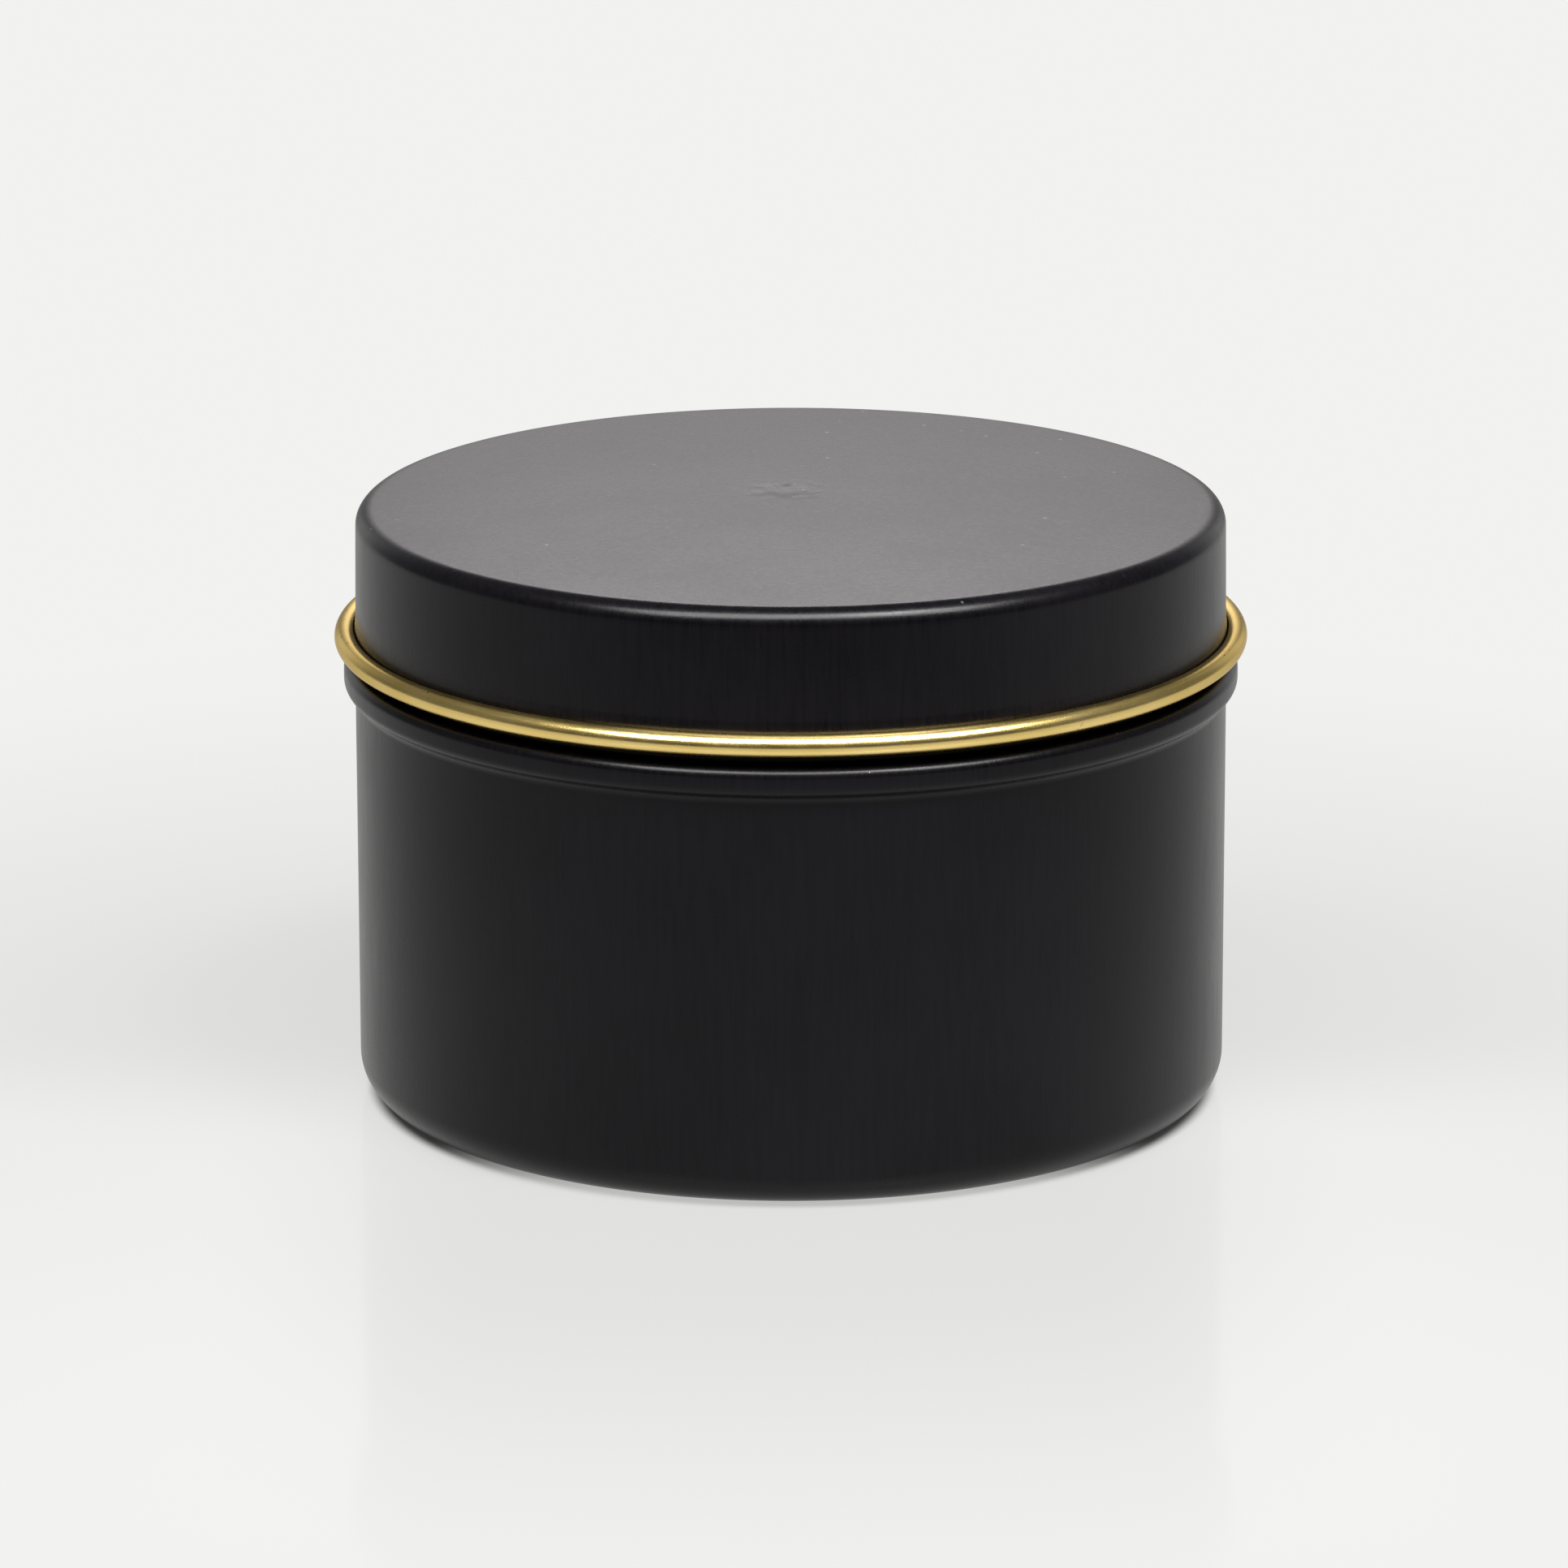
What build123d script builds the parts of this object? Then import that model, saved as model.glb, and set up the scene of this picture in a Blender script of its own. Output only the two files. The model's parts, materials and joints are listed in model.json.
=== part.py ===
from build123d import *

import os
from math import copysign, cos, radians, sin

# A seamless drawn tin with a slip lid, filled as a container candle.
# Millimetres. +Z is up, the origin is at the centre of the base on the table plane.

# tinplate
gauge = 0.25  # both drawn pieces come from the same sheet

# tin body, sizes to the outer face
body_radius = 38.5
base_corner_radius = 3.5
base_recess = 0.9  # the base panel stands this far above the table
standing_ring_width = 1.2
recess_bend_radius = 0.6
recess_slope = 60.0

# shoulder bead that stops the lid's rolled edge, and the neck inside the lid
shoulder_radius = 39.5
shoulder_bend_radius = 0.95
shoulder_fillet = 0.6
shoulder_band = 0.8  # straight band between the two bends
shoulder_low_slope = 60.0
shoulder_top_slope = 85.0
shoulder_band_z = 37.75  # lower end of that band
neck_radius = 37.85
body_top = 52.68
body_curl_radius = 1.0
body_curl_sweep = 300.0

# slip lid
lid_top = 53.0
lid_panel_radius = 36.77  # flat part of the top
lid_corner_radius = 1.55
lid_draft = 0.7  # degrees the skirt leans outwards
lid_skirt_length = 8.04
lid_flare = 5.5  # degrees, above the rolled edge
lid_flare_radius = 3.0
lid_flare_length = 1.8
lid_curl_radius = 0.975
lid_curl_sweep = 309.5

# candle inside the tin
wax_level = 41.5
wax_climb = 0.8  # height of the meniscus on the tin's wall
wick_climb = 1.0  # height of the meniscus on the wick
climb_width = 1.3
climb_arc_radius = 1.6
wick_radius = 1.1
wick_core_radius = 0.4
wick_bend_z = 43.6
wick_bend_radius = 8.0
wick_tip = (1.2, 0.6, 48.0)
sticker_radius = 9.5
sticker_thickness = 0.8
sustainer_radius = 10.0
sustainer_gauge = 0.3
sustainer_neck_height = 6.0
sustainer_bend_radius = 0.8
crimp_ball_radius = 0.9
crimp_depth = 0.15

floor_z = base_recess + gauge  # inner floor of the tin
sustainer_z = floor_z + sticker_thickness
wick_foot_z = sustainer_z + 0.1


# A sheet's section is written as the straights and bends of one of its faces.
# The sheet lies to the left of that path, and a positive bend turns to the left.


def straight(length):
    return length, 0.0


def bend(radius, degrees):
    return radius, degrees


def jog(step, first_radius, second_radius, slope):
    """Two opposite bends and the straight between them, ending `step` to the left."""
    side = copysign(1, step)
    turned = (first_radius + second_radius) * (1 - cos(radians(slope)))
    between = (abs(step) - turned) / sin(radians(slope))
    return [bend(first_radius, side * slope), straight(between), bend(second_radius, -side * slope)]


def jog_length(step, first_radius, second_radius, slope):
    """How far a jog carries the sheet along its old direction."""
    _, (between, _), _ = jog(step, first_radius, second_radius, slope)
    along = (first_radius + second_radius) * sin(radians(slope))
    return along + between * cos(radians(slope))


def direction(degrees):
    return Vector(cos(radians(degrees)), 0, sin(radians(degrees)))


def face_edges(start, heading, steps, shift):
    """Edges of a sheet's face that lies `shift` to the left of the path."""
    spot = Vector(start[0], 0, start[1])
    edges = []
    for size, turn in steps:
        left = direction(heading + 90)
        if turn == 0:
            after = spot + direction(heading) * size
            edges.append(Line(spot + left * shift, after + left * shift))
        else:
            side = copysign(1, turn)
            centre = spot + left * side * size
            arm = heading - 90 * side
            reach = size - side * shift
            ends = [centre + direction(arm + turn * share) * reach for share in (0, 0.5, 1)]
            edges.append(ThreePointArc(*ends))
            after = centre + direction(arm + turn) * size
            heading += turn
        spot = after
    return edges


def turned_sheet(start, heading, steps, thickness):
    """A sheet of the given section, turned about the Z axis."""
    near = face_edges(start, heading, steps, 0)
    far = face_edges(start, heading, steps, thickness)
    caps = [Line(near[0] @ 0, far[0] @ 0), Line(near[-1] @ 1, far[-1] @ 1)]
    return revolve(Face(Wire(near + far + caps)), Axis.Z)


def tin_body():
    """Drawn cup: recessed base, wall, shoulder bead, neck and inward rolled edge."""
    recess = (-base_recess, recess_bend_radius, recess_bend_radius, recess_slope)
    bulge_out = (
        body_radius - shoulder_radius, shoulder_fillet, shoulder_bend_radius, shoulder_low_slope
    )
    bulge_in = (
        shoulder_radius - neck_radius, shoulder_bend_radius, shoulder_fillet, shoulder_top_slope
    )
    ring_inner = body_radius - base_corner_radius - standing_ring_width
    wall_top = shoulder_band_z - jog_length(*bulge_out)
    neck_foot = shoulder_band_z + shoulder_band + jog_length(*bulge_in)
    steps = [
        straight(ring_inner - jog_length(*recess)),
        *jog(*recess),
        straight(standing_ring_width),
        bend(base_corner_radius, 90),
        straight(wall_top - base_corner_radius),
        *jog(*bulge_out),
        straight(shoulder_band),
        *jog(*bulge_in),
        straight(body_top - body_curl_radius - neck_foot),
        bend(body_curl_radius, body_curl_sweep),
    ]
    return turned_sheet((0, base_recess), 0, steps, gauge)


def tin_lid():
    """Drawn cap, followed along its inner face, which shows again on the outward rolled edge."""
    steps = [
        straight(lid_panel_radius),
        bend(lid_corner_radius - gauge, lid_draft - 90),
        straight(lid_skirt_length),
        bend(lid_flare_radius, lid_flare - lid_draft),
        straight(lid_flare_length),
        bend(lid_curl_radius, lid_curl_sweep),
    ]
    return turned_sheet((0, lid_top - gauge), 0, steps, gauge)


def wick_line():
    """Straight through the wax, then leaning over above it."""
    return FilletPolyline(
        (0, 0, wick_foot_z), (0, 0, wick_bend_z), wick_tip, radius=wick_bend_radius
    )


def wick_rod(radius):
    return sweep(Plane.XY.offset(wick_foot_z) * Circle(radius), path=wick_line())


def wick_sustainer():
    """Stamped disc with a drawn neck, crimped on the wick from two sides."""
    steps = [
        straight(sustainer_neck_height - sustainer_bend_radius),
        bend(sustainer_bend_radius, 90),
        straight(sustainer_radius - wick_radius - sustainer_bend_radius),
    ]
    neck_top = sustainer_z + sustainer_neck_height
    eyelet = turned_sheet((wick_radius, neck_top), -90, steps, sustainer_gauge)
    reach = wick_radius + sustainer_gauge + crimp_ball_radius - crimp_depth
    crimp_z = sustainer_z + 0.6 * sustainer_neck_height
    for y in (-reach, reach):
        eyelet -= Pos(0, y, crimp_z) * Sphere(crimp_ball_radius)
    return eyelet


def wick_sticker():
    """Double-sided foam dot that holds the sustainer to the floor of the tin."""
    middle = Pos(0, 0, floor_z + sticker_thickness / 2)
    return middle * Cylinder(sticker_radius, sticker_thickness)


def wax_fill(body, set_in_wax):
    """Wax cast against the inside of the tin and round the wick's fittings."""
    inside_sheet = shoulder_radius - gauge / 2  # ends in the sheet at the bulge's widest
    neck_wall = neck_radius - gauge
    rim = (neck_wall, wax_level + wax_climb)
    wick_rim = (wick_radius, wax_level + wick_climb)
    flat = [(neck_wall - climb_width, wax_level), (wick_radius + climb_width, wax_level)]
    sides = Polyline(
        (wick_rim[0], 0, wick_rim[1]),
        (wick_radius, 0, gauge / 2),
        (inside_sheet, 0, gauge / 2),
        (inside_sheet, 0, rim[1]),
        (rim[0], 0, rim[1]),
    )
    level = Line((flat[0][0], 0, flat[0][1]), (flat[1][0], 0, flat[1][1]))
    hollow = Plane.XZ
    on_wall = hollow * RadiusArc(rim, flat[0], climb_arc_radius)
    on_wick = hollow * RadiusArc(flat[1], wick_rim, climb_arc_radius)
    block = revolve(Face(Wire([*sides.edges(), *on_wall.edges(), level, *on_wick.edges()])), Axis.Z)
    for piece in set_in_wax:
        block -= piece
    block -= body
    return max(block.solids(), key=lambda solid: solid.volume)


def all_parts():
    body = tin_body()
    sustainer = wick_sustainer()
    sticker = wick_sticker()
    core = wick_rod(wick_core_radius)
    return {
        "tin_body": body,
        "tin_lid": tin_lid(),
        "wax_fill": wax_fill(body, [sustainer, sticker]),
        "wick_braid": wick_rod(wick_radius) - core,
        "wick_core": core,
        "wick_sustainer": sustainer,
        "wick_sticker": sticker,
    }


os.makedirs("parts", exist_ok=True)
for name, shape in all_parts().items():
    export_step(shape, f"parts/{name}.step")
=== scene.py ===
import json
import math

import bpy
from mathutils import Matrix, Vector

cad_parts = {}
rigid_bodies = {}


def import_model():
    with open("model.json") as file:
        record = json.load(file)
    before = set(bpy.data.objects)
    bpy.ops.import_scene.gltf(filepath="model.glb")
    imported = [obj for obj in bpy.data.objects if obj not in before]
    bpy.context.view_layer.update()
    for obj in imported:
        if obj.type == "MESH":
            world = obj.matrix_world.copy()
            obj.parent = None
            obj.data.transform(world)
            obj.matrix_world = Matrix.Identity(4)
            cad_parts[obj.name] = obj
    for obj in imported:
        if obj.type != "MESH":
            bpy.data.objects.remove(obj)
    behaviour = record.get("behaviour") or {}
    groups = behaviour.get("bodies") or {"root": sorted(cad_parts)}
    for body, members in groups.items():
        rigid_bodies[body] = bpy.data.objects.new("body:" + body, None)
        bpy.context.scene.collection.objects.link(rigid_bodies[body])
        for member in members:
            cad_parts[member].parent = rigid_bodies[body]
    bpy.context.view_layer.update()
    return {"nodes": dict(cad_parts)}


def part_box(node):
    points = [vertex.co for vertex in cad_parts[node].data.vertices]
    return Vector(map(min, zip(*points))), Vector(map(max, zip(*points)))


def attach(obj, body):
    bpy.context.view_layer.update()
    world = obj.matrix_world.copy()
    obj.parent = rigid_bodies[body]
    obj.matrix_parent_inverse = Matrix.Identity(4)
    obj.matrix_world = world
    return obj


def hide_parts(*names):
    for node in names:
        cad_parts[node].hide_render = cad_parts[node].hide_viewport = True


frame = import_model()
print("frame: loaded", sorted(frame["nodes"]))

mm = 0.001
scene = bpy.context.scene
scene.view_settings.view_transform = "Standard"  # plain tones, so white stays white


def corners(node):  # a node's box at rest, in millimetres
    low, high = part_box(node)
    return low / mm, high / mm


bodyLow, bodyHigh = corners("tin_body")
lidHigh = corners("tin_lid")[1]
waxHigh = corners("wax_fill")[1]
stickerHigh = corners("wick_sticker")[1]
sustainerLow, sustainerHigh = corners("wick_sustainer")


# small helpers for node trees

def addNode(tree, kind, values=None, **settings):
    node = tree.nodes.new(kind)
    for name, value in settings.items():
        setattr(node, name, value)
    for name, value in (values or {}).items():
        if isinstance(value, bpy.types.NodeSocket):
            tree.links.new(value, node.inputs[name])
        else:
            node.inputs[name].default_value = value
    return node


def mathOf(tree, operation, *values):
    return addNode(tree, "ShaderNodeMath", dict(enumerate(values)), operation=operation).outputs[0]


def vectorOf(tree, operation, *values, scale=1.0):
    inputs = dict(enumerate(values))
    if operation == "SCALE":
        inputs["Scale"] = scale
    return addNode(tree, "ShaderNodeVectorMath", inputs, operation=operation).outputs[0]


def lengthOf(tree, vector):
    return addNode(tree, "ShaderNodeVectorMath", {0: vector}, operation="LENGTH").outputs["Value"]


def productOf(tree, *values):
    total = values[0]
    for value in values[1:]:
        total = mathOf(tree, "MULTIPLY", total, value)
    return total


def sumOf(tree, *values):
    total = values[0]
    for value in values[1:]:
        total = mathOf(tree, "ADD", total, value)
    return total


def centred(tree, noise):  # so that a noise swings both ways about zero
    return mathOf(tree, "SUBTRACT", noise, 0.5)


def mixOf(tree, share, first, second):
    return addNode(tree, "ShaderNodeMix", {0: share, 2: first, 3: second}).outputs[0]


def rangeOf(tree, value, low, high, toLow=0.0, toHigh=1.0, smooth=True):
    node = addNode(
        tree, "ShaderNodeMapRange",
        {"Value": value, "From Min": low, "From Max": high, "To Min": toLow, "To Max": toHigh},
        interpolation_type="SMOOTHSTEP" if smooth else "LINEAR",
    )
    return node.outputs["Result"]


def noiseOf(tree, place, scale, detail=2.0, roughness=0.5):
    node = addNode(
        tree, "ShaderNodeTexNoise",
        {"Vector": place, "Scale": scale, "Detail": detail, "Roughness": roughness},
    )
    return node.outputs[0]


usualLow, usualHigh = 0.3, 0.7  # a noise rarely leaves this span


def spread(tree, noise, toLow=0.0, toHigh=1.0):
    return rangeOf(tree, noise, usualLow, usualHigh, toLow, toHigh)


def newGroup(name, kind, inputs, outputs):
    tree = bpy.data.node_groups.new(name, kind)
    for label, (socketType, value) in inputs.items():
        socket = tree.interface.new_socket(label, in_out="INPUT", socket_type=socketType)
        if value is not None:
            socket.default_value = value
    for label, socketType in outputs.items():
        tree.interface.new_socket(label, in_out="OUTPUT", socket_type=socketType)
    return tree, tree.nodes.new("NodeGroupInput").outputs, tree.nodes.new("NodeGroupOutput").inputs


def runTree(name, mesh, tree, values):  # one Geometry Nodes pass, kept as a plain mesh
    source = bpy.data.objects.new(name + "Source", mesh)
    scene.collection.objects.link(source)
    modifier = source.modifiers.new("tree", "NODES")
    modifier.node_group = tree
    for item in tree.interface.items_tree:
        if item.in_out == "INPUT" and item.name in values:
            modifier[item.identifier] = values[item.name]
    depsgraph = bpy.context.evaluated_depsgraph_get()
    made = bpy.data.meshes.new_from_object(
        source.evaluated_get(depsgraph), preserve_all_data_layers=True, depsgraph=depsgraph
    )
    source.modifiers.remove(modifier)
    bpy.data.objects.remove(source)
    made.name = name
    piece = bpy.data.objects.new(name, made)
    scene.collection.objects.link(piece)
    return piece


# sections of bent sheet: straights and bends of one face, with the sheet on the left of the path

def jog(step, firstRadius, secondRadius, slope):  # two opposite bends, ending step to the left
    side = math.copysign(1, step)
    turned = (firstRadius + secondRadius) * (1 - math.cos(math.radians(slope)))
    between = (abs(step) - turned) / math.sin(math.radians(slope))
    along = (firstRadius + secondRadius) * math.sin(math.radians(slope))
    along += between * math.cos(math.radians(slope))
    return [(firstRadius, side * slope), (between, 0), (secondRadius, -side * slope)], along


def unit(degrees):
    return Vector((math.cos(math.radians(degrees)), math.sin(math.radians(degrees))))


def facePoints(start, heading, steps, shift, degreesPerStep=6.0, longest=2.5):
    spot = Vector(start)
    points = [(spot + unit(heading + 90) * shift, 0)]  # each place, and how sharply the sheet bends there
    for size, turn in steps:
        left = unit(heading + 90)
        if turn == 0:
            after = spot + unit(heading) * size
            parts = max(1, math.ceil(size / longest))
            points += [(spot.lerp(after, i / parts) + left * shift, 0) for i in range(1, parts + 1)]
        else:
            side = math.copysign(1, turn)
            centre = spot + left * side * size
            arm = heading - 90 * side
            parts = max(2, math.ceil(abs(turn) / degreesPerStep))
            reach = size - side * shift
            sharp = side * min(1, 1 / size)
            points += [(centre + unit(arm + turn * i / parts) * reach, sharp) for i in range(1, parts + 1)]
            after = centre + unit(arm + turn) * size
            heading += turn
        spot = after
    return points


sectionMarks = ("lacquered", "edge", "loose")  # gold side, sharp outer bend, free surface of a casting


def sectionMesh(name, rows):  # rows of radius and height in millimetres, with the marks that ride along
    mesh = bpy.data.meshes.new(name)
    edges = [(i, i + 1) for i in range(len(rows) - 1)]
    mesh.from_pydata([(row["r"] * mm, 0, row["z"] * mm) for row in rows], edges, [])
    for mark in sectionMarks:
        share = mesh.attributes.new(mark, "FLOAT", "POINT")
        share.data.foreach_set("value", [row.get(mark, 0.0) for row in rows])
    return mesh


def markOf(tree, name):
    node = addNode(tree, "GeometryNodeInputNamedAttribute", {"Name": name}, data_type="FLOAT")
    return node.outputs["Attribute"]


dentForm = dict(outlineScale=700.0, least=0.75, most=1.35, rim=0.25)
mostlyGold = 0.6  # a face takes the inner finish above this share of lacquered corners


def spinTree(form):  # rolls a section round the Z axis
    tree, given, out = newGroup(
        "spinSection", "GeometryNodeTree",
        {
            "Section": ("NodeSocketGeometry", None),
            "Steps Round": ("NodeSocketInt", 256),
            "Weld": ("NodeSocketFloat", 0.000002),
            "Ripple": ("NodeSocketFloat", 0.0),
            "Ripple Scale": ("NodeSocketFloat", 30.0),
            "Unevenness": ("NodeSocketFloat", 0.0),
            "Unevenness Scale": ("NodeSocketFloat", 90.0),
            "Dent Place": ("NodeSocketVector", (0, 0, 0)),
            "Dent Radius": ("NodeSocketFloat", 0.002),
            "Dent Depth": ("NodeSocketFloat", 0.0),
            "Outer Finish": ("NodeSocketMaterial", None),
            "Inner Finish": ("NodeSocketMaterial", None),
        },
        {"Mesh": "NodeSocketGeometry"},
    )
    count = addNode(tree, "GeometryNodeAttributeDomainSize", {"Geometry": given["Section"]})
    around = sumOf(tree, given["Steps Round"], 1)
    grid = addNode(
        tree, "GeometryNodeMeshGrid", {"Vertices X": count.outputs["Point Count"], "Vertices Y": around}
    )
    index = tree.nodes.new("GeometryNodeInputIndex").outputs[0]
    along = mathOf(tree, "FLOOR", mathOf(tree, "DIVIDE", sumOf(tree, index, 0.5), around))
    stepRound = mathOf(tree, "SUBTRACT", index, productOf(tree, along, around))
    angle = productOf(tree, mathOf(tree, "DIVIDE", stepRound, given["Steps Round"]), math.tau)

    def fromSection(value, kind):
        node = addNode(
            tree, "GeometryNodeSampleIndex",
            {"Geometry": given["Section"], "Value": value, "Index": along}, data_type=kind,
        )
        return node.outputs["Value"]

    position = tree.nodes.new("GeometryNodeInputPosition").outputs[0]
    turned = addNode(
        tree, "ShaderNodeVectorRotate",
        {"Vector": fromSection(position, "FLOAT_VECTOR"), "Axis": (0, 0, 1), "Angle": angle},
    )
    shape = addNode(
        tree, "GeometryNodeSetPosition",
        {"Geometry": grid.outputs["Mesh"], "Position": turned.outputs["Vector"]},
    ).outputs["Geometry"]
    for mark in sectionMarks:
        shape = addNode(
            tree, "GeometryNodeStoreNamedAttribute",
            {"Geometry": shape, "Name": mark, "Value": fromSection(markOf(tree, mark), "FLOAT")},
            data_type="FLOAT", domain="POINT",
        ).outputs["Geometry"]
    shape = addNode(
        tree, "GeometryNodeMergeByDistance", {"Geometry": shape, "Distance": given["Weld"]}
    ).outputs["Geometry"]
    shape = addNode(tree, "GeometryNodeFlipFaces", {"Mesh": shape}).outputs["Mesh"]  # to face outwards

    # drawing leaves the sheet a few hundredths out of true
    swing = centred(tree, noiseOf(tree, position, given["Ripple Scale"], detail=1.0))
    flat = vectorOf(tree, "MULTIPLY", position, (1, 1, 0))
    push = vectorOf(tree, "SCALE", flat, scale=productOf(tree, swing, given["Ripple"]))

    # a shallow dent of uneven outline
    gap = addNode(
        tree, "ShaderNodeVectorMath", {0: position, 1: given["Dent Place"]}, operation="DISTANCE"
    ).outputs["Value"]
    outline = noiseOf(tree, position, form["outlineScale"], detail=1.0)
    uneven = spread(tree, outline, form["least"], form["most"])
    reach = mathOf(tree, "DIVIDE", productOf(tree, gap, uneven), given["Dent Radius"])
    reach = mathOf(tree, "POWER", reach, 2.0)
    bell = mathOf(tree, "EXPONENT", productOf(tree, reach, -1.0))
    dent = productOf(tree, bell, mathOf(tree, "SUBTRACT", productOf(tree, reach, form["rim"]), 1.0))
    drop = productOf(tree, dent, given["Dent Depth"])

    # the free surface of a casting sets slightly uneven
    wave = centred(tree, noiseOf(tree, position, given["Unevenness Scale"], detail=3.0))
    heave = productOf(tree, wave, given["Unevenness"], markOf(tree, "loose"))

    lift = addNode(tree, "ShaderNodeCombineXYZ", {"Z": sumOf(tree, drop, heave)})
    shape = addNode(
        tree, "GeometryNodeSetPosition",
        {"Geometry": shape, "Offset": vectorOf(tree, "ADD", push, lift.outputs["Vector"])},
    ).outputs["Geometry"]
    shape = addNode(
        tree, "GeometryNodeSetShadeSmooth", {"Geometry": shape, "Shade Smooth": True}
    ).outputs["Geometry"]
    shape = addNode(tree, "GeometryNodeRealizeInstances", {"Geometry": shape}).outputs["Geometry"]
    shape = addNode(
        tree, "GeometryNodeSetMaterial", {"Geometry": shape, "Material": given["Outer Finish"]}
    ).outputs["Geometry"]
    isLacquered = addNode(
        tree, "FunctionNodeCompare", {0: markOf(tree, "lacquered"), 1: mostlyGold},
        data_type="FLOAT", operation="GREATER_THAN",
    )
    shape = addNode(
        tree, "GeometryNodeSetMaterial",
        {"Geometry": shape, "Selection": isLacquered.outputs["Result"], "Material": given["Inner Finish"]},
    ).outputs["Geometry"]
    tree.links.new(shape, out["Mesh"])
    return tree


spinSection = spinTree(dentForm)


# effects that several finishes share

peelShare = 0.15  # scale of the orange peel against the grain's


def grainTree():  # fine satin grain over a slow orange peel
    tree, given, out = newGroup(
        "satinGrain", "ShaderNodeTree",
        {
            "Place": ("NodeSocketVector", None), "Scale": ("NodeSocketFloat", 5000.0),
            "Peel": ("NodeSocketFloat", 0.4),
        },
        {"Height": "NodeSocketFloat"},
    )
    fine = noiseOf(tree, given["Place"], given["Scale"], roughness=0.6)
    peel = noiseOf(tree, given["Place"], productOf(tree, given["Scale"], peelShare), detail=1.0)
    height = sumOf(tree, fine, productOf(tree, peel, given["Peel"]))
    tree.links.new(height, out["Height"])
    return tree


toolMarks = dict(axisGap=0.001, upWall=0.07, roundBead=0.004)  # small shares draw the lines out


def drawnLinesTree(marks):  # lines left by the tooling, up a wall or round a bead
    tree, given, out = newGroup(
        "drawnLines", "ShaderNodeTree",
        {
            "Place": ("NodeSocketVector", None), "Density": ("NodeSocketFloat", 1500.0),
            "Around": ("NodeSocketFloat", 0.0),
        },
        {"Height": "NodeSocketFloat"},
    )
    part = addNode(tree, "ShaderNodeSeparateXYZ", {0: given["Place"]}).outputs
    flat = vectorOf(tree, "MULTIPLY", given["Place"], (1, 1, 0))
    radius = lengthOf(tree, flat)
    turn = mathOf(tree, "DIVIDE", part["X"], mathOf(tree, "MAXIMUM", radius, marks["axisGap"]))
    slow = productOf(tree, turn, marks["roundBead"])
    upWall = vectorOf(tree, "MULTIPLY", given["Place"], (1, 1, marks["upWall"]))
    roundBead = addNode(tree, "ShaderNodeCombineXYZ", {"X": radius, "Y": part["Z"], "Z": slow})
    mixed = addNode(
        tree, "ShaderNodeMix", {0: given["Around"], 4: upWall, 5: roundBead.outputs[0]}, data_type="VECTOR"
    )
    lines = noiseOf(tree, mixed.outputs[1], given["Density"], detail=3.0, roughness=0.65)
    tree.links.new(lines, out["Height"])
    return tree


wearLimits = dict(whereShare=0.08, rare=0.78, common=0.35, softness=0.05, edgeFrom=0.02, edgeTo=0.2)


def edgeWearTree(limits):  # broken patches that keep to the sharp bends
    tree, given, out = newGroup(
        "edgeWear", "ShaderNodeTree",
        {
            "Place": ("NodeSocketVector", None), "Edge": ("NodeSocketFloat", 0.0),
            "Amount": ("NodeSocketFloat", 0.5), "Scale": ("NodeSocketFloat", 900.0),
        },
        {"Mask": "NodeSocketFloat"},
    )
    patches = noiseOf(tree, given["Place"], given["Scale"], detail=5.0, roughness=0.7)
    where = noiseOf(tree, given["Place"], productOf(tree, given["Scale"], limits["whereShare"]), detail=1.0)
    reach = productOf(tree, given["Edge"], given["Amount"], where)
    limit = rangeOf(tree, reach, 0.0, 1.0, limits["rare"], limits["common"], smooth=False)
    mask = rangeOf(tree, mathOf(tree, "SUBTRACT", patches, limit), 0.0, limits["softness"])
    mask = productOf(tree, mask, rangeOf(tree, given["Edge"], limits["edgeFrom"], limits["edgeTo"]))
    tree.links.new(mask, out["Mask"])
    return tree


speckForm = dict(core=0.10, rim=0.22, tiltFrom=0.3, tiltTo=0.9)


def dustTree(form):  # settled specks, only on what looks up
    tree, given, out = newGroup(
        "settledDust", "ShaderNodeTree",
        {
            "Place": ("NodeSocketVector", None), "Amount": ("NodeSocketFloat", 0.2),
            "Scale": ("NodeSocketFloat", 900.0),
        },
        {"Mask": "NodeSocketFloat"},
    )
    cells = addNode(
        tree, "ShaderNodeTexVoronoi",
        {"Vector": given["Place"], "Scale": given["Scale"], "Randomness": 1.0}, feature="F1",
    )
    dot = rangeOf(tree, cells.outputs["Distance"], form["core"], form["rim"], 1.0, 0.0)
    pick = addNode(tree, "ShaderNodeSeparateColor", {0: cells.outputs["Color"]}).outputs[0]
    some = mathOf(tree, "LESS_THAN", pick, given["Amount"])
    facing = tree.nodes.new("ShaderNodeNewGeometry").outputs["Normal"]
    level = addNode(tree, "ShaderNodeSeparateXYZ", {0: facing}).outputs["Z"]
    up = rangeOf(tree, level, form["tiltFrom"], form["tiltTo"])
    tree.links.new(productOf(tree, dot, some, up), out["Mask"])
    return tree


def hazeTree():  # slow clouds, such as handling leaves
    tree, given, out = newGroup(
        "handlingHaze", "ShaderNodeTree",
        {"Place": ("NodeSocketVector", None), "Scale": ("NodeSocketFloat", 60.0)},
        {"Value": "NodeSocketFloat"},
    )
    clouds = noiseOf(tree, given["Place"], given["Scale"], detail=4.0, roughness=0.6)
    tree.links.new(spread(tree, clouds), out["Value"])
    return tree


satinGrain = grainTree()
drawnLines = drawnLinesTree(toolMarks)
edgeWear = edgeWearTree(wearLimits)
settledDust = dustTree(speckForm)
handlingHaze = hazeTree()


# finishes

def newMaterial(name):
    material = bpy.data.materials.new(name)
    material.use_nodes = True
    tree = material.node_tree
    return material, tree, tree.nodes["Principled BSDF"]


def placeOf(tree):
    return tree.nodes.new("ShaderNodeTexCoord").outputs["Object"]


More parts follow.
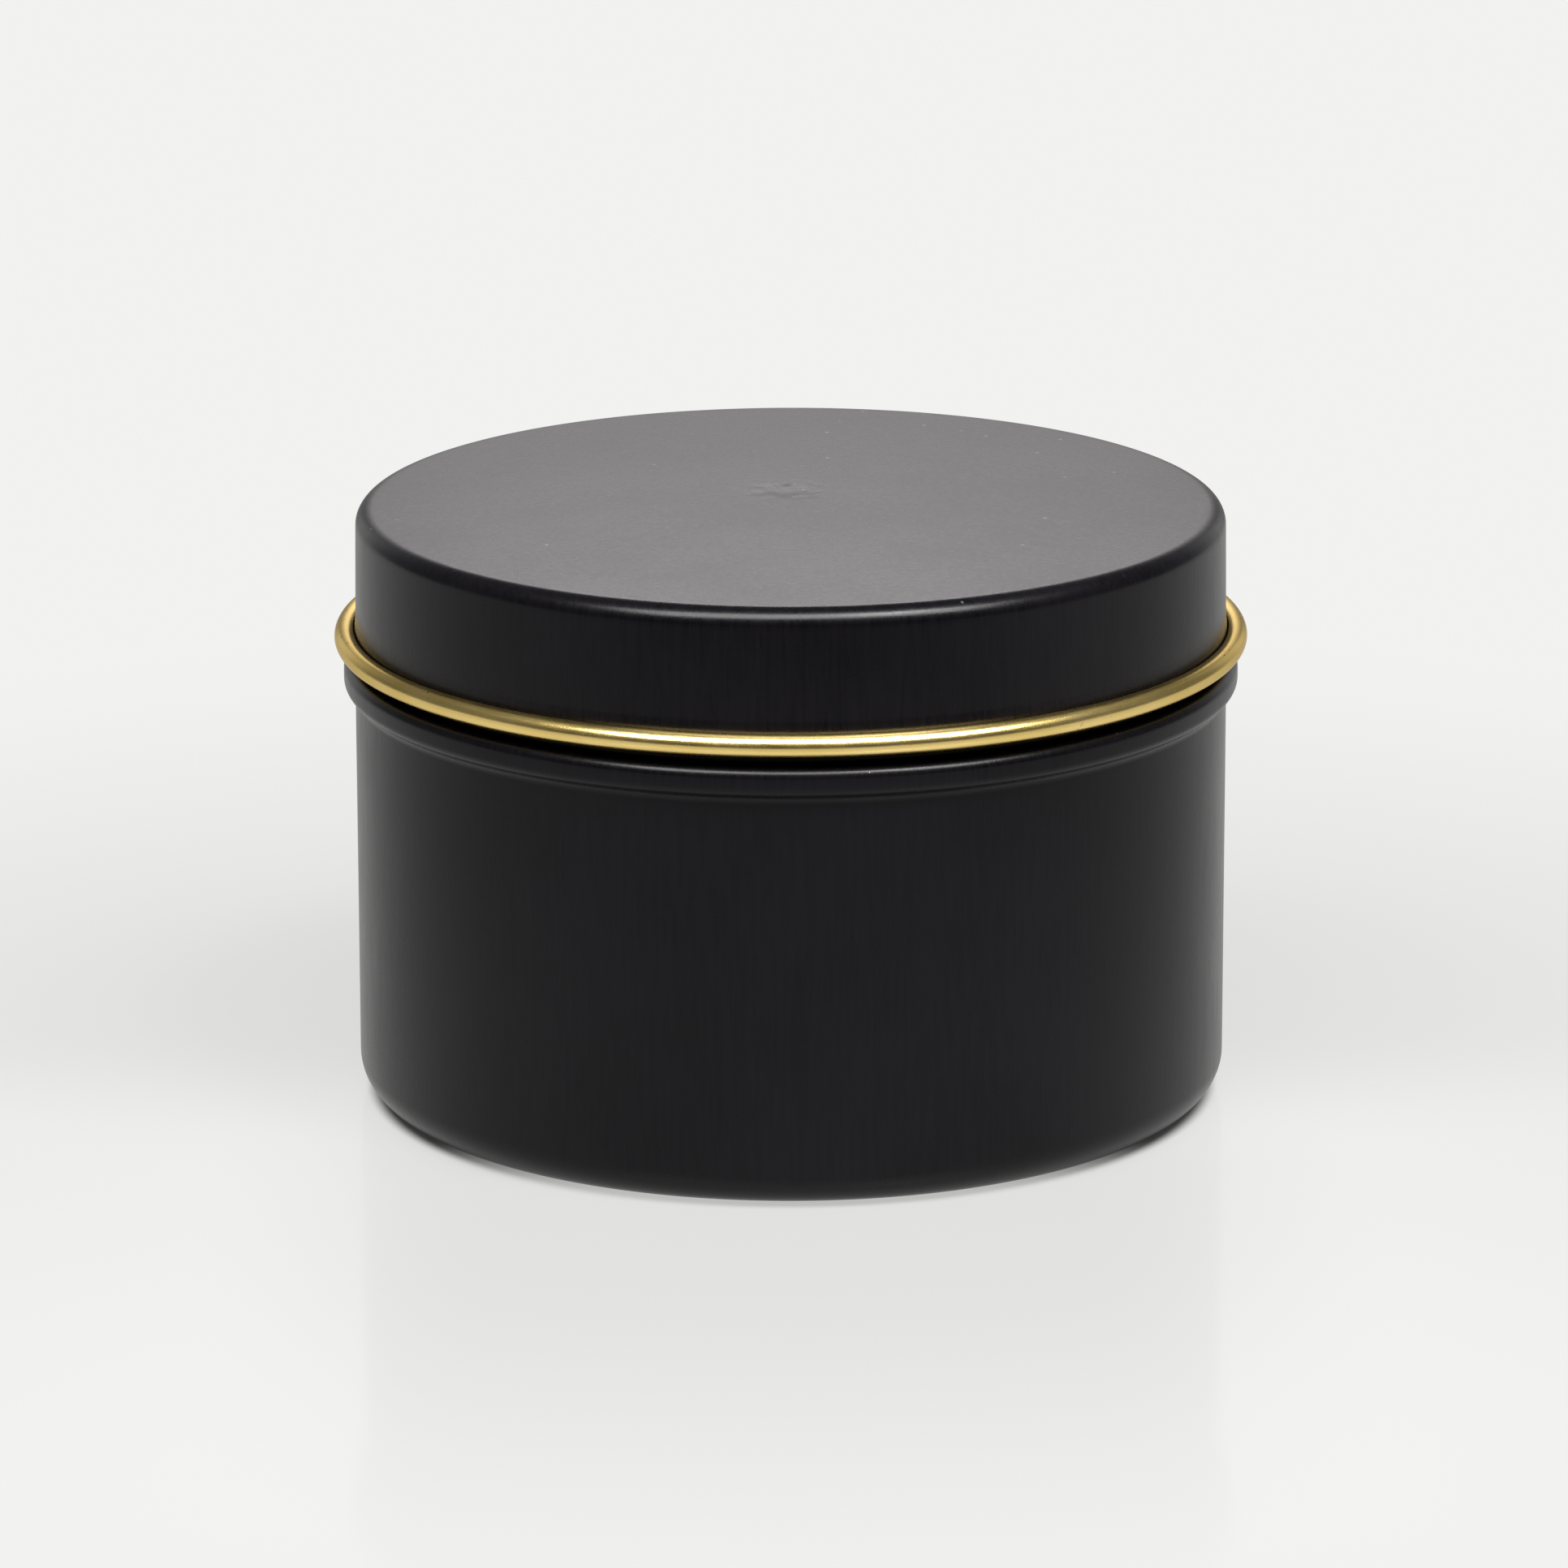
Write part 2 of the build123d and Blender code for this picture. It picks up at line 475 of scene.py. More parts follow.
def attributeOf(tree, name, output="Fac"):
    return addNode(tree, "ShaderNodeAttribute", attribute_name=name).outputs[output]


def effect(tree, group, **values):
    named = {label.replace("_", " "): value for label, value in values.items()}
    return addNode(tree, "ShaderNodeGroup", named, node_tree=group).outputs[0]


def tint(tree, share, first, second):
    node = addNode(tree, "ShaderNodeMix", {0: share, 6: first, 7: second}, data_type="RGBA")
    return node.outputs[2]


def relief(tree, shader, *layers):  # each layer is a pattern and its depth in metres
    height = sumOf(tree, *[productOf(tree, pattern, depth) for pattern, depth in layers])
    bump = addNode(tree, "ShaderNodeBump", {"Strength": 1.0, "Distance": 1.0, "Height": height})
    tree.links.new(bump.outputs["Normal"], shader.inputs["Normal"])


def link(tree, shader, **sockets):
    for label, value in sockets.items():
        tree.links.new(value, shader.inputs[label.replace("_", " ")])


def fixed(shader, **sockets):
    for label, value in sockets.items():
        shader.inputs[label.replace("_", " ")].default_value = value


coating = dict(
    black=(0.0010, 0.0008, 0.0013, 1), faded=(0.0031, 0.0026, 0.0037, 1), bare=(0.17, 0.165, 0.16, 1),
    dust=(0.12, 0.115, 0.11, 1), roughness=0.285, hazeSpread=0.03, lineSpread=0.14, specular=0.185,
    hazeScale=45, hazeFade=0.5, lineFade=0.4, grainScale=4300, peel=1.2, grainDepth=0.0000056,
    lineDensity=2300, lineDepth=0.0000036, wearAmount=0.34, wearScale=1700,
    dustAmount=0.018, dustScale=900, dustCover=0.5,
)


def blackCoating(size):
    material, tree, shader = newMaterial("blackCoating")
    place = placeOf(tree)
    haze = effect(tree, handlingHaze, Place=place, Scale=size["hazeScale"])
    lines = effect(tree, drawnLines, Place=place, Density=size["lineDensity"], Around=0.0)
    grain = effect(tree, satinGrain, Place=place, Scale=size["grainScale"], Peel=size["peel"])
    worn = effect(
        tree, edgeWear, Place=place, Edge=attributeOf(tree, "edge"), Amount=size["wearAmount"],
        Scale=size["wearScale"],
    )
    dust = effect(tree, settledDust, Place=place, Amount=size["dustAmount"], Scale=size["dustScale"])
    streaks = sumOf(
        tree, productOf(tree, haze, size["hazeFade"]), productOf(tree, spread(tree, lines), size["lineFade"])
    )
    color = tint(tree, streaks, size["black"], size["faded"])
    color = tint(tree, productOf(tree, dust, size["dustCover"]), color, size["dust"])
    color = tint(tree, worn, color, size["bare"])
    rough = sumOf(
        tree, productOf(tree, centred(tree, haze), size["hazeSpread"]),
        productOf(tree, centred(tree, lines), size["lineSpread"]), size["roughness"],
    )
    link(tree, shader, Base_Color=color, Roughness=rough, Metallic=worn)
    fixed(shader, Specular_IOR_Level=size["specular"])
    relief(tree, shader, (grain, size["grainDepth"]), (lines, size["lineDepth"]))
    return material


lacquer = dict(
    gold=(0.79, 0.585, 0.20, 1), pale=(0.85, 0.645, 0.25, 1), fleck=(0.06, 0.045, 0.02, 1),
    rim=(0.72, 0.66, 0.55, 1), roughness=0.26, lineSpread=0.14, hazeScale=110,
    grainScale=4200, peel=0.6, grainDepth=0.0000014, lineDensity=4200, lineDepth=0.0000022,
    fleckAmount=0.16, fleckScale=1700, wearAmount=0.55, wearScale=1900, wearCover=0.35, wearRoughness=0.15,
)


def goldLacquer(size):
    material, tree, shader = newMaterial("goldLacquer")
    place = placeOf(tree)
    haze = effect(tree, handlingHaze, Place=place, Scale=size["hazeScale"])
    lines = effect(tree, drawnLines, Place=place, Density=size["lineDensity"], Around=1.0)
    grain = effect(tree, satinGrain, Place=place, Scale=size["grainScale"], Peel=size["peel"])
    fleck = effect(tree, settledDust, Place=place, Amount=size["fleckAmount"], Scale=size["fleckScale"])
    worn = effect(
        tree, edgeWear, Place=place, Edge=attributeOf(tree, "edge"), Amount=size["wearAmount"],
        Scale=size["wearScale"],
    )
    color = tint(tree, haze, size["gold"], size["pale"])
    color = tint(tree, productOf(tree, worn, size["wearCover"]), color, size["fleck"])
    color = tint(tree, fleck, color, size["fleck"])
    rough = sumOf(
        tree, productOf(tree, centred(tree, lines), size["lineSpread"]),
        productOf(tree, worn, size["wearRoughness"]), size["roughness"],
    )
    link(tree, shader, Base_Color=color, Roughness=rough)
    fixed(shader, Metallic=1.0, Specular_Tint=size["rim"])
    relief(tree, shader, (grain, size["grainDepth"]), (lines, size["lineDepth"]))
    return material


soyWax = dict(
    cream=(0.40, 0.35, 0.26, 1), frost=(0.46, 0.43, 0.36, 1), roughness=0.42, frostRoughness=0.16,
    subsurface=0.65, glowReach=(1.0, 0.75, 0.45), glowDepth=0.0035, specular=0.4, hazeScale=150,
    grainScale=2600, peel=1.5, grainDepth=0.000012,
    pitAmount=0.12, pitScale=420, pitCover=0.4, pitDepth=0.00006,
)


def waxFinish(size):  # creamy, with paler frosting and a few pinholes from the pour
    material, tree, shader = newMaterial("soyWax")
    place = placeOf(tree)
    haze = effect(tree, handlingHaze, Place=place, Scale=size["hazeScale"])
    grain = effect(tree, satinGrain, Place=place, Scale=size["grainScale"], Peel=size["peel"])
    pits = effect(tree, settledDust, Place=place, Amount=size["pitAmount"], Scale=size["pitScale"])
    color = tint(tree, haze, size["cream"], size["frost"])
    color = tint(tree, productOf(tree, pits, size["pitCover"]), color, size["cream"])
    rough = sumOf(tree, productOf(tree, haze, size["frostRoughness"]), size["roughness"])
    link(tree, shader, Base_Color=color, Roughness=rough)
    fixed(
        shader, Subsurface_Weight=size["subsurface"], Subsurface_Radius=size["glowReach"],
        Subsurface_Scale=size["glowDepth"], Specular_IOR_Level=size["specular"],
    )
    relief(tree, shader, (grain, size["grainDepth"]), (pits, -size["pitDepth"]))
    return material


cotton = dict(
    # the gap tone and its limits are painted shade between the fibres
    fibre=(0.52, 0.50, 0.45, 1), waxed=(0.36, 0.31, 0.22, 1), gap=(0.12, 0.10, 0.07, 1),
    soakScale=420, soakShare=0.7, gapShadeFrom=0.5, gapShadeTo=0.25, gapShadeShare=0.6,
    fibreStretch=(0.9, 1.0, 3.0), fibreScale=9.0, fibreDepth=0.00003,
    roughness=0.62, fibreRoughness=0.2, sheen=0.25, sheenRoughness=0.4, specular=0.3,
)


def cottonYarn(size):  # fine fibres that follow each strand, darker where the wax has soaked in, with painted shade in the hollows between fibres
    material, tree, shader = newMaterial("cottonYarn")
    place = placeOf(tree)
    strand = attributeOf(tree, "strand", "Vector")  # along, round and number of the strand
    stretched = vectorOf(tree, "MULTIPLY", strand, size["fibreStretch"])
    fibres = noiseOf(tree, stretched, size["fibreScale"], detail=3.0, roughness=0.6)
    soaked = effect(tree, handlingHaze, Place=place, Scale=size["soakScale"])
    color = tint(tree, productOf(tree, soaked, size["soakShare"]), size["fibre"], size["waxed"])
    # painted shade: the low parts of the fibre relief turn towards the dark gap tone
    gapShade = rangeOf(tree, fibres, size["gapShadeFrom"], size["gapShadeTo"], 0.0, size["gapShadeShare"])
    color = tint(tree, gapShade, color, size["gap"])
    rough = sumOf(tree, productOf(tree, fibres, size["fibreRoughness"]), size["roughness"])
    link(tree, shader, Base_Color=color, Roughness=rough)
    fixed(
        shader, Sheen_Weight=size["sheen"], Sheen_Roughness=size["sheenRoughness"],
        Specular_IOR_Level=size["specular"],
    )
    relief(tree, shader, (fibres, size["fibreDepth"]))
    return material


paper = dict(
    white=(0.80, 0.77, 0.70, 1), grey=(0.58, 0.54, 0.46, 1),
    roughness=0.80, grainRoughness=0.1, specular=0.25, lineDensity=5200, greyFrom=0.35, whiteFrom=0.65,
    grainScale=7000, peel=0.5, depth=0.00002,
)


def paperTwist(size):  # a rolled strip of paper, its fibres lying along it
    material, tree, shader = newMaterial("paperTwist")
    place = placeOf(tree)
    lengthwise = effect(tree, drawnLines, Place=place, Density=size["lineDensity"], Around=0.0)
    grain = effect(tree, satinGrain, Place=place, Scale=size["grainScale"], Peel=size["peel"])
    pale = rangeOf(tree, lengthwise, size["greyFrom"], size["whiteFrom"])
    color = tint(tree, pale, size["grey"], size["white"])
    rough = sumOf(tree, productOf(tree, grain, size["grainRoughness"]), size["roughness"])
    link(tree, shader, Base_Color=color, Roughness=rough)
    fixed(shader, Specular_IOR_Level=size["specular"])
    relief(tree, shader, (grain, size["depth"]), (lengthwise, size["depth"]))
    return material


tinned = dict(
    bright=(0.66, 0.65, 0.62, 1), dull=(0.44, 0.43, 0.41, 1), stain=(0.20, 0.17, 0.13, 1),
    roughness=0.22, hazeRoughness=0.12, lineRoughness=0.1,
    hazeScale=260, lineDensity=3800, lineDepth=0.000002,
    grainScale=5200, peel=0.8, grainDepth=0.0000015, stainAmount=0.15, stainScale=900, stainCover=0.5,
)


def tinnedSteel(size):
    material, tree, shader = newMaterial("tinnedSteel")
    place = placeOf(tree)
    haze = effect(tree, handlingHaze, Place=place, Scale=size["hazeScale"])
    lines = effect(tree, drawnLines, Place=place, Density=size["lineDensity"], Around=1.0)
    grain = effect(tree, satinGrain, Place=place, Scale=size["grainScale"], Peel=size["peel"])
    stain = effect(tree, settledDust, Place=place, Amount=size["stainAmount"], Scale=size["stainScale"])
    color = tint(tree, haze, size["bright"], size["dull"])
    color = tint(tree, productOf(tree, stain, size["stainCover"]), color, size["stain"])
    rough = sumOf(
        tree, productOf(tree, haze, size["hazeRoughness"]), productOf(tree, lines, size["lineRoughness"]),
        size["roughness"],
    )
    link(tree, shader, Base_Color=color, Roughness=rough)
    fixed(shader, Metallic=1.0)
    relief(tree, shader, (grain, size["grainDepth"]), (lines, size["lineDepth"]))
    return material


foam = dict(
    # the cell tone is painted shade in the cells' hollows
    white=(0.82, 0.81, 0.77, 1), hollowShadeTone=(0.60, 0.58, 0.52, 1), cellScale=3600, cellDepth=0.00004,
    cellFrom=0.55, cellTo=0.15, cellShare=0.7, hazeScale=300, hazeRoughness=0.1, roughness=0.8, specular=0.3,
)


def foamTape(size):  # closed cells that show along the die-cut edge, with painted shade in each cell's hollow
    material, tree, shader = newMaterial("foamTape")
    place = placeOf(tree)
    cells = addNode(
        tree, "ShaderNodeTexVoronoi", {"Vector": place, "Scale": size["cellScale"]}, feature="F1"
    ).outputs["Distance"]
    haze = effect(tree, handlingHaze, Place=place, Scale=size["hazeScale"])
    # painted shade: darker towards the middle of each cell, where the relief is lowest
    hollowShade = rangeOf(tree, cells, size["cellFrom"], size["cellTo"], 0.0, size["cellShare"])
    color = tint(tree, hollowShade, size["white"], size["hollowShadeTone"])
    rough = sumOf(tree, productOf(tree, haze, size["hazeRoughness"]), size["roughness"])
    link(tree, shader, Base_Color=color, Roughness=rough)
    fixed(shader, Specular_IOR_Level=size["specular"])
    relief(tree, shader, (cells, size["cellDepth"]))
    return material


black = blackCoating(coating)
gold = goldLacquer(lacquer)
print("finishes: coating and lacquer mixed")


# tin body, followed along its outer face

body = dict(
    gauge=0.25, wallRadius=38.5, cornerRadius=3.5, recess=0.9, ringWidth=1.2,
    recessBend=0.6, recessSlope=60, shoulderBend=0.95, lowFillet=1.0, shoulderFillet=0.6, shoulderBand=0.8,
    bandHeight=37.75, lowSlope=60, topSlope=85, neckRadius=37.85, curlRadius=1.0, curlSweep=300,
    stepsRound=256, ripple=0.0006, rippleScale=25.0, longest=2.0,
)


def bodySteps(size):
    shoulderRadius = bodyHigh.x
    recessBends, recessRun = jog(
        -size["recess"], size["recessBend"], size["recessBend"], size["recessSlope"]
    )
    outBends, outRun = jog(
        size["wallRadius"] - shoulderRadius, size["lowFillet"], size["shoulderBend"], size["lowSlope"]
    )
    inBends, inRun = jog(
        shoulderRadius - size["neckRadius"], size["shoulderBend"], size["shoulderFillet"], size["topSlope"]
    )
    ringInner = size["wallRadius"] - size["cornerRadius"] - size["ringWidth"]
    neckFoot = size["bandHeight"] + size["shoulderBand"] + inRun
    return [
        (ringInner - recessRun, 0), *recessBends, (size["ringWidth"], 0), (size["cornerRadius"], 90),
        (size["bandHeight"] - outRun - size["cornerRadius"], 0), *outBends, (size["shoulderBand"], 0),
        *inBends, (bodyHigh.z - size["curlRadius"] - neckFoot, 0), (size["curlRadius"], size["curlSweep"]),
    ]


def shellRows(start, steps, size, nearLacquered):  # both faces of a sheet, one after the other
    near = facePoints(start, 0, steps, 0, longest=size["longest"])
    far = facePoints(start, 0, steps, size["gauge"], longest=size["longest"])
    rows = [dict(r=p.x, z=p.y, lacquered=nearLacquered, edge=max(0, bend)) for p, bend in near]
    rows += [dict(r=p.x, z=p.y, lacquered=1 - nearLacquered, edge=max(0, -bend)) for p, bend in far[::-1]]
    return rows


def spinShell(name, size, start, steps, nearLacquered, **extra):
    rows = shellRows(start, steps, size, nearLacquered)
    return runTree(name, sectionMesh(name + "Section", rows), spinSection, {
        "Steps Round": size["stepsRound"], "Ripple": size["ripple"], "Ripple Scale": size["rippleScale"],
        "Outer Finish": black, "Inner Finish": gold, **extra,
    })


bodyStart = (0, bodyLow.z + body["recess"])
tinBody = spinShell("tinBody", body, bodyStart, bodySteps(body), 0)
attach(tinBody, "tin")
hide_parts("tin_body")
print("tin body: spun", len(tinBody.data.polygons), "faces")


# slip lid, followed along its inner face, which shows again on the rolled edge

lid = dict(
    gauge=0.25, panelRadius=36.77, cornerRadius=1.55, draft=0.7, skirtLength=8.04, flare=5.5,
    flareRadius=3.0, flareLength=1.8, curlRadius=0.975, curlSweep=309.5,
    stepsRound=224, ripple=0.0006, rippleScale=25.0, longest=0.42,
    dentPlace=(-0.4, 4.6), dentRadius=2.1, dentDepth=0.21,
)


def lidSteps(size):
    return [
        (size["panelRadius"], 0), (size["cornerRadius"] - size["gauge"], size["draft"] - 90),
        (size["skirtLength"], 0), (size["flareRadius"], size["flare"] - size["draft"]),
        (size["flareLength"], 0), (size["curlRadius"], size["curlSweep"]),
    ]


dentPlace = Vector((*lid["dentPlace"], lidHigh.z)) * mm
tinLid = spinShell("tinLid", lid, (0, lidHigh.z - lid["gauge"]), lidSteps(lid), 1, **{
    "Dent Place": dentPlace, "Dent Radius": lid["dentRadius"] * mm, "Dent Depth": lid["dentDepth"] * mm,
})
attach(tinLid, "lid")
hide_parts("tin_lid")
print("tin lid: spun", len(tinLid.data.polygons), "faces")


# wax, cast against the tin and round the wick's fittings

wax = dict(
    gap=0.03, level=41.5, wallClimb=0.8, climbWidth=1.3, climbPower=2.2, wickRadius=1.1,
    neckGauge=0.3, neckBend=0.8, neckCap=0.1, clear=1.0, ringStep=1.0, stepsRound=256,
    unevenness=0.35, unevennessScale=95.0,
)


def climb(wall, side, rise, size, parts=8):  # the surface curves up to what it touches
    width = size["climbWidth"]
    shares = [i / parts for i in range(parts + 1)]
    return [
        dict(r=wall + side * width * s, z=size["level"] + rise * (1 - s) ** size["climbPower"], loose=s)
        for s in shares
    ]


def waxRows(size):
    wickFace = size["wickRadius"] + size["gap"]
    inner = [p for p, _ in facePoints(bodyStart, 0, bodySteps(body), body["gauge"] + size["gap"])]
    rim = size["level"] + size["wallClimb"]
    sides = [p for p in inner if p.x > stickerHigh.x + size["clear"] and p.y < rim]
    collar = size["wickRadius"] + size["neckGauge"] + size["gap"]
    disc = sustainerLow.z + size["neckGauge"] + size["gap"]
    under = [
        (wickFace, sustainerHigh.z + size["neckCap"]), (collar, sustainerHigh.z),
        (collar, disc + size["neckBend"]), (collar + size["neckBend"], disc),
        (sustainerHigh.x + size["gap"], disc),
        (sustainerHigh.x + size["gap"], stickerHigh.z), (stickerHigh.x + size["gap"], stickerHigh.z),
        (stickerHigh.x + size["gap"], sides[0].y),
    ]
    wall = body["neckRadius"] - body["gauge"] - size["gap"]
    onWall = climb(wall, -1, size["wallClimb"], size)
    onWick = climb(wickFace, 1, waxHigh.z - size["level"], size)[::-1]
    first, last = onWall[-1]["r"], onWick[0]["r"]
    rings = math.ceil((first - last) / size["ringStep"])
    level = [
        dict(r=first + (last - first) * i / rings, z=size["level"], loose=1.0) for i in range(1, rings)
    ]
    rows = [dict(r=r, z=z) for r, z in under] + [dict(r=p.x, z=p.y) for p in sides]
    rows += onWall + level + onWick
    return rows + [rows[0]]  # back to the start, so the casting is closed


waxFill = runTree("waxFill", sectionMesh("waxSection", waxRows(wax)), spinSection, {
    "Steps Round": wax["stepsRound"], "Unevenness": wax["unevenness"] * mm,
    "Unevenness Scale": wax["unevennessScale"], "Outer Finish": waxFinish(soyWax),
})
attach(waxFill, "tin")
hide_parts("wax_fill")
print("wax: cast", len(waxFill.data.polygons), "faces")


# wick, braided over its paper core and leaning over above the wax

wick = dict(
    foot=2.05, bendHeight=43.6, tip=(1.2, 0.6, 48.0), bendRadius=8.0, strandsEachWay=6,
    strandRadius=0.25, weave=0.10, twist=0.95, spacing=0.12, sides=6, bendPoints=24,
)


def braidTree():  # strands wound both ways about a line, passing over and under each other in turn
    tree, given, out = newGroup(
        "braidedWick", "GeometryNodeTree",
        {
            "Route": ("NodeSocketGeometry", None),
            "Bend Radius": ("NodeSocketFloat", 0.008),
            "Bend Points": ("NodeSocketInt", 24),
            "Spacing": ("NodeSocketFloat", 0.00012),
            "Strands Each Way": ("NodeSocketInt", 6),
            "Strand Radius": ("NodeSocketFloat", 0.00025),
            "Strand Sides": ("NodeSocketInt", 6),
            "Braid Radius": ("NodeSocketFloat", 0.00075),
            "Weave": ("NodeSocketFloat", 0.0001),
            "Twist": ("NodeSocketFloat", 950.0),
            "Finish": ("NodeSocketMaterial", None),
        },
        {"Mesh": "NodeSocketGeometry"},
    )
    curve = addNode(tree, "GeometryNodeMeshToCurve", {"Mesh": given["Route"]}).outputs["Curve"]
    curve = addNode(
        tree, "GeometryNodeFilletCurve",
        {"Curve": curve, "Count": given["Bend Points"], "Radius": given["Bend Radius"]}, mode="POLY",
    ).outputs["Curve"]
    curve = addNode(
        tree, "GeometryNodeResampleCurve", {"Curve": curve, "Length": given["Spacing"]}, mode="LENGTH"
    ).outputs["Curve"]
    kept = addNode(tree, "GeometryNodeCaptureAttribute", {"Geometry": curve}, domain="POINT")
    kept.capture_items.new("VECTOR", "tangent")
    kept.capture_items.new("VECTOR", "normal")
    kept.capture_items.new("FLOAT", "along")
    tree.links.new(tree.nodes.new("GeometryNodeInputTangent").outputs[0], kept.inputs["tangent"])
    tree.links.new(tree.nodes.new("GeometryNodeInputNormal").outputs[0], kept.inputs["normal"])
    tree.links.new(tree.nodes.new("GeometryNodeSplineParameter").outputs["Length"], kept.inputs["along"])
    both = productOf(tree, given["Strands Each Way"], 2)
    copies = addNode(
        tree, "GeometryNodeDuplicateElements", {"Geometry": kept.outputs["Geometry"], "Amount": both},
        domain="SPLINE",
    )
    number = copies.outputs["Duplicate Index"]
    oneWay = mathOf(tree, "LESS_THAN", number, given["Strands Each Way"])
    way = mathOf(tree, "SUBTRACT", productOf(tree, oneWay, 2.0), 1.0)
    start = mathOf(tree, "DIVIDE", productOf(tree, number, math.tau), given["Strands Each Way"])
    wound = productOf(tree, kept.outputs["along"], given["Twist"])
    angle = sumOf(tree, productOf(tree, wound, way), start)
    beat = mathOf(tree, "COSINE", productOf(tree, wound, given["Strands Each Way"]))
    sway = productOf(tree, productOf(tree, beat, way), given["Weave"])
    reach = sumOf(tree, given["Braid Radius"], sway)
    across = vectorOf(tree, "CROSS_PRODUCT", kept.outputs["tangent"], kept.outputs["normal"])
    outwards = vectorOf(
        tree, "ADD",
        vectorOf(tree, "SCALE", kept.outputs["normal"], scale=mathOf(tree, "COSINE", angle)),
        vectorOf(tree, "SCALE", across, scale=mathOf(tree, "SINE", angle)),
    )
    strands = addNode(
        tree, "GeometryNodeSetPosition",
        {"Geometry": copies.outputs["Geometry"], "Offset": vectorOf(tree, "SCALE", outwards, scale=reach)},
    ).outputs["Geometry"]
    lie = addNode(tree, "GeometryNodeCaptureAttribute", {"Geometry": strands}, domain="POINT")
    lie.capture_items.new("FLOAT", "length")
    lie.capture_items.new("FLOAT", "strandNumber")
    tree.links.new(productOf(tree, kept.outputs["along"], 1 / mm), lie.inputs["length"])
    tree.links.new(number, lie.inputs["strandNumber"])
    ring = addNode(
        tree, "GeometryNodeCurvePrimitiveCircle",
        {"Resolution": given["Strand Sides"], "Radius": given["Strand Radius"]}, mode="RADIUS",
    )
    spot = tree.nodes.new("GeometryNodeSplineParameter").outputs["Factor"]
    profile = addNode(
        tree, "GeometryNodeCaptureAttribute", {"Geometry": ring.outputs["Curve"]}, domain="POINT"
    )
    profile.capture_items.new("FLOAT", "round")
    tree.links.new(spot, profile.inputs["round"])
    yarn = addNode(
        tree, "GeometryNodeCurveToMesh",
        {"Curve": lie.outputs["Geometry"], "Profile Curve": profile.outputs["Geometry"], "Fill Caps": True},
    ).outputs["Mesh"]
    face = addNode(
        tree, "ShaderNodeCombineXYZ",
        {"X": lie.outputs["length"], "Y": productOf(tree, profile.outputs["round"], wick["sides"]),
         "Z": lie.outputs["strandNumber"]},
    )
    yarn = addNode(
        tree, "GeometryNodeStoreNamedAttribute",
        {"Geometry": yarn, "Name": "strand", "Value": face.outputs[0]},
        data_type="FLOAT_VECTOR", domain="POINT",
    ).outputs["Geometry"]
    yarn = addNode(
        tree, "GeometryNodeSetShadeSmooth", {"Geometry": yarn, "Shade Smooth": True}
    ).outputs["Geometry"]
    yarn = addNode(tree, "GeometryNodeRealizeInstances", {"Geometry": yarn}).outputs["Geometry"]
    yarn = addNode(
        tree, "GeometryNodeSetMaterial", {"Geometry": yarn, "Material": given["Finish"]}
    ).outputs["Geometry"]
    tree.links.new(yarn, out["Mesh"])
    return tree


def wickRoute(size):
    route = bpy.data.meshes.new("wickRoute")
    spots = [(0, 0, size["foot"]), (0, 0, size["bendHeight"]), size["tip"]]
    route.from_pydata([Vector(spot) * mm for spot in spots], [(0, 1), (1, 2)], [])
    return route


outside = wick["weave"] + wick["strandRadius"]
wickBraid = runTree("wickBraid", wickRoute(wick), braidTree(), {
    "Bend Radius": wick["bendRadius"] * mm, "Bend Points": wick["bendPoints"],
    "Spacing": wick["spacing"] * mm,
    "Strands Each Way": wick["strandsEachWay"], "Strand Radius": wick["strandRadius"] * mm,
    "Strand Sides": wick["sides"], "Braid Radius": (wax["wickRadius"] - outside) * mm,
    "Weave": wick["weave"] * mm, "Twist": wick["twist"] / mm, "Finish": cottonYarn(cotton),
})
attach(wickBraid, "tin")
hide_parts("wick_braid")
print("wick: braided", len(wickBraid.data.polygons), "faces")


# pieces that keep their own shape and only get a finish

def finish(node, material):
    piece = frame["nodes"][node]
    piece.data.materials.clear()
    piece.data.materials.append(material)


finish("wick_core", paperTwist(paper))
finish("wick_sustainer", tinnedSteel(tinned))
finish("wick_sticker", foamTape(foam))
print("wick fittings: finished")


# floor, light and camera

stage = dict(
    floorRadius=2500, floorSides=96, floorColor=(0.06, 0.06, 0.0597, 1), floorRoughness=0.9,
    coatWeight=0.27, coatRoughness=0.10, fadeFrom=55, fadeTo=165, floorGlow=0.63,
    # the front glow and the cover values paint a lighter front and a pool of shade into the floor's glow
    paintedFrontGlow=0.062, frontGlowFrom=15, frontGlowTo=-20,
    paintedShadePoolGlow=-0.088, coverFar=200, coverNear=25, coverBack=-5, coverFront=-28, coverWide=52, coverNarrow=24,
    # the tuck values paint contact shade under the base's corner
    tuckFrom=0.3, tuckTo=1.9, tuckFront=-34, tuckBack=-18, tuckedFront=0.12, tuckedShare=0.95,
    # the table end values and the unlit glow paint a dark reflection ahead, seen only in reflections
    darkReflectionFrom=-140, darkReflectionTo=-320, unlit=0.03,
    worldTone=(1.0, 1.0, 0.985, 1), backdropLight=0.885,
    reflectedLight=0.70, wallLight=0.87, ceilingLight=0.15, frontLight=0.05,
    wallFrom=0.60, wallTo=0.93, wallTop=0.50, wallLow=0.28, roomFrom=-0.10, roomTo=-0.60,
)
keyLight = dict(width=1900, height=660, distance=1300, azimuth=6, elevation=60.5, power=70)
sideKey = dict(width=240, height=200, distance=1290, azimuth=38, elevation=60, power=6)
sweepGlow = dict(
    width=320, height=240, behind=330, lowHeight=112, low=0.74, highHeight=200, high=3.25,
    middle=15, edge=150, edgeShare=0.3, tone=(1.01, 0.975, 0.985, 1),
)


